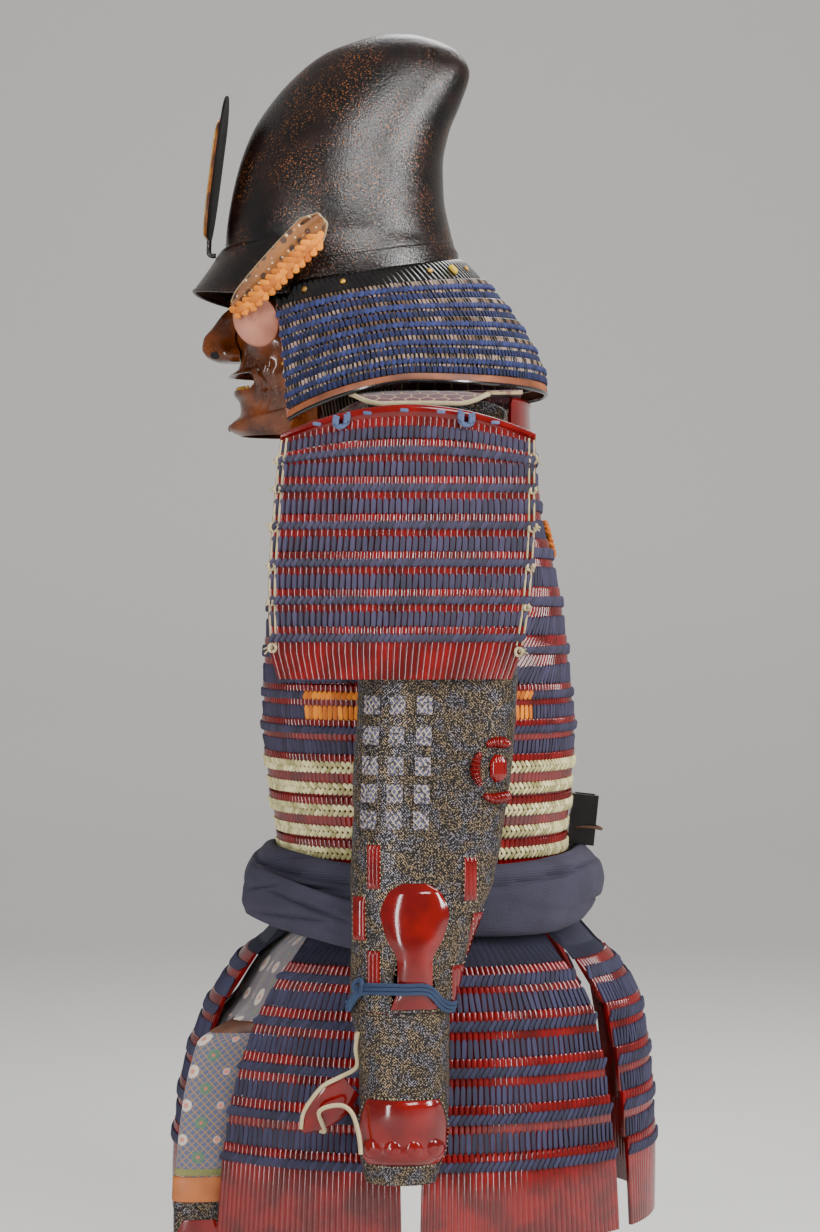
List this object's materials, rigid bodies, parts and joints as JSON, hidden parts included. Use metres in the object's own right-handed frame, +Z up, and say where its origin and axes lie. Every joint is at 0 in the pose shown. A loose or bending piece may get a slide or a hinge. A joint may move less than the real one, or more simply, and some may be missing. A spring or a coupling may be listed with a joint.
{
  "type": "samurai armour",
  "caption": "Worn laced armour with no wearer: finned helmet, mask, cuirass, shoulder guards, mail sleeves, sash, tassets and thigh guards.",
  "frame": {"origin": "neck base, at the middle of the shoulder line, where the wearer carries the armour", "axes": "+Z up, the wearer faces -Y, and +X is the wearer's left"},
  "size_m": [0.55, 0.4391, 1.214],
  "materials": {
    "russet_iron": "gloss lacquer over iron",
    "black_lacquer": "gloss",
    "gilt": "worn gilding",
    "red_lacquer": "gloss",
    "blue_lacing": "braided silk over lacquered scales",
    "purple_lacing": "braided silk over red scales",
    "navy_lacing": "braided silk over red scales",
    "blue_cord": "braided",
    "orange_cord": "braided",
    "printed_leather": "printed",
    "pink_leather": "matt",
    "tan_leather": "matt",
    "green_leather": "printed",
    "kikko_cloth": "quilted hexagons",
    "sash_cloth": "plain weave",
    "brocade": "woven pattern",
    "mail": "blackened, worn"
  },
  "bodies": {
    "root": {"helmet_bowl": "russet_iron", "helmet_visor": "russet_iron", "crest_back": "black_lacquer", "crest_front": "gilt", "crest_peg": "russet_iron", "neck_guard_top": "black_lacquer", "neck_guard": "blue_lacing", "neck_guard_rim": "tan_leather", "mask_body": "russet_iron", "mask_nose": "russet_iron", "throat_guard": "black_lacquer", "cuirass_wrap": "purple_lacing", "cuirass_front": "purple_lacing", "cuirass_back": "purple_lacing", "waist_band": "green_leather", "collar": "kikko_cloth", "sash_front": "sash_cloth", "sash_back": "sash_cloth", "sash_fold": "sash_cloth", "tasset_front": "navy_lacing", "tasset_left_front": "navy_lacing", "tasset_right_front": "navy_lacing", "tasset_left_rear": "navy_lacing", "tasset_right_rear": "navy_lacing", "tasset_back_left": "navy_lacing", "tasset_back_right": "navy_lacing", "flag_socket": "black_lacquer", "back_ring": "orange_cord", "turnback_left": "printed_leather", "turnback_right": "printed_leather", "turnback_lobe_left": "pink_leather", "turnback_lobe_right": "pink_leather", "shoulder_strap_left": "kikko_cloth", "shoulder_strap_right": "kikko_cloth", "shoulder_wing_left": "kikko_cloth", "shoulder_wing_right": "kikko_cloth", "shoulder_guard_top_left": "red_lacquer", "shoulder_guard_top_right": "red_lacquer", "shoulder_guard_left": "purple_lacing", "shoulder_guard_right": "purple_lacing", "sleeve_left": "mail", "sleeve_right": "mail", "forearm_plate_left": "red_lacquer", "forearm_plate_right": "red_lacquer", "elbow_boss_left": "red_lacquer", "elbow_boss_right": "red_lacquer", "hand_mail_left": "mail", "hand_mail_right": "mail", "hand_plate_left": "red_lacquer", "hand_plate_right": "red_lacquer", "thumb_plate_left": "red_lacquer", "thumb_plate_right": "red_lacquer", "wrist_cord_left": "blue_cord", "wrist_cord_right": "blue_cord", "thigh_cloth_left": "brocade", "thigh_cloth_right": "brocade", "thigh_band_left": "tan_leather", "thigh_band_right": "tan_leather", "thigh_mail_left": "mail", "thigh_mail_right": "mail"}
  },
  "joints": []
}
